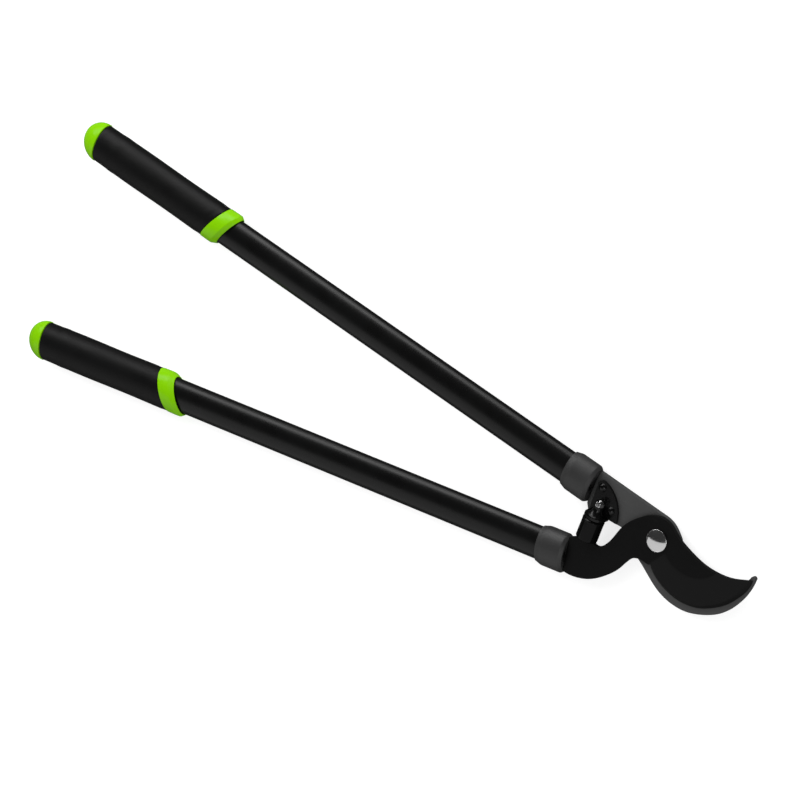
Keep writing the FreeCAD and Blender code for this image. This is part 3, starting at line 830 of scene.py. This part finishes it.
def stage_floor():
    """A wide pale matt floor just under the object, darker to mirror rays so that black paint stays black."""
    half = FLOOR_HALF_WIDTH
    level = cad_low.z - FLOOR_GAP
    data = bpy.data.meshes.new("floor")
    corners = [(-half, -half, level), (half, -half, level), (half, half, level), (-half, half, level)]
    data.from_pydata(corners, [], [(0, 1, 2, 3)])
    floor = bpy.data.objects.new("floor", data)
    bpy.context.scene.collection.objects.link(floor)
    material = bpy.data.materials.new("floor_paper")
    material.use_nodes = True
    tree = material.node_tree
    bright = tree.nodes["Principled BSDF"]
    bright.inputs["Base Color"].default_value = (FLOOR_COLOUR, FLOOR_COLOUR, FLOOR_COLOUR, 1)
    bright.inputs["Roughness"].default_value = 0.9
    bright.inputs["Specular IOR Level"].default_value = 0.0
    bright.inputs["Emission Color"].default_value = (1, 1, 1, 1)
    bright.inputs["Emission Strength"].default_value = FLOOR_GLOW
    dim = tree.nodes.new("ShaderNodeBsdfDiffuse")
    dim.inputs["Color"].default_value = (FLOOR_MIRRORED, FLOOR_MIRRORED, FLOOR_MIRRORED, 1)
    mirror_switch(tree, bright.outputs["BSDF"], dim.outputs["BSDF"],
                  tree.nodes["Material Output"].inputs["Surface"])
    data.materials.append(material)


def surround():
    """A white surround whose mirror image is dimmer than its light."""
    world = bpy.data.worlds.new("soft_surround")
    world.use_nodes = True
    tree = world.node_tree
    light = tree.nodes["Background"]
    dim = tree.nodes.new("ShaderNodeBackground")
    for node, strength in ((light, SURROUND_LIGHT), (dim, SURROUND_MIRRORED)):
        node.inputs["Color"].default_value = (1, 1, 1, 1)
        node.inputs["Strength"].default_value = strength
    mirror_switch(tree, light.outputs["Background"], dim.outputs["Background"],
                  tree.nodes["World Output"].inputs["Surface"])
    bpy.context.scene.world = world


def softbox(name, towards, distance, width, height, radiance, mirrored):
    """A level rectangular lamp facing the object's middle; power = pi * area * radiance."""
    data = bpy.data.lights.new(name, "AREA")
    data.shape = "RECTANGLE"
    data.size = width
    data.size_y = height
    data.energy = math.pi * width * height * radiance
    lamp = bpy.data.objects.new(name, data)
    direction = Vector(towards).normalized()
    lamp.location = (cad_low + cad_high) / 2 + direction * distance
    lamp.visible_glossy = mirrored
    lamp.rotation_mode = "QUATERNION"
    lamp.rotation_quaternion = direction.to_track_quat("Z", "Y")
    bpy.context.scene.collection.objects.link(lamp)


def place_camera():
    """Camera that looks at its aim from an azimuth and elevation, then rolls about its own line of sight."""
    a, e, r = (math.radians(angle) for angle in (CAMERA_AZIMUTH, CAMERA_ELEVATION, CAMERA_ROLL))
    back = Vector((math.sin(a) * math.cos(e), -math.cos(a) * math.cos(e), math.sin(e)))
    right = (-back).cross(Vector((0, 0, 1))).normalized()
    up = right.cross(-back)
    across = math.cos(r) * right + math.sin(r) * up
    upward = back.cross(across)
    aim = cad_low + Vector([share * width for share, width in zip(AIM_SHARE, cad_high - cad_low)])
    data = bpy.data.cameras.new("camera")
    data.lens = CAMERA_LENS
    data.sensor_width = CAMERA_SENSOR
    data.clip_end = CAMERA_REACH
    camera = bpy.data.objects.new("camera", data)
    turn = Matrix((across, upward, back)).transposed().to_4x4()
    camera.matrix_world = Matrix.Translation(aim + back * CAMERA_DISTANCE) @ turn
    bpy.context.scene.collection.objects.link(camera)
    bpy.context.scene.camera = camera


stage_floor()
surround()
for lamp in LAMPS:
    softbox(*lamp)
place_camera()
bpy.context.scene.view_settings.view_transform = "Standard"
bpy.context.scene.view_settings.look = "None"
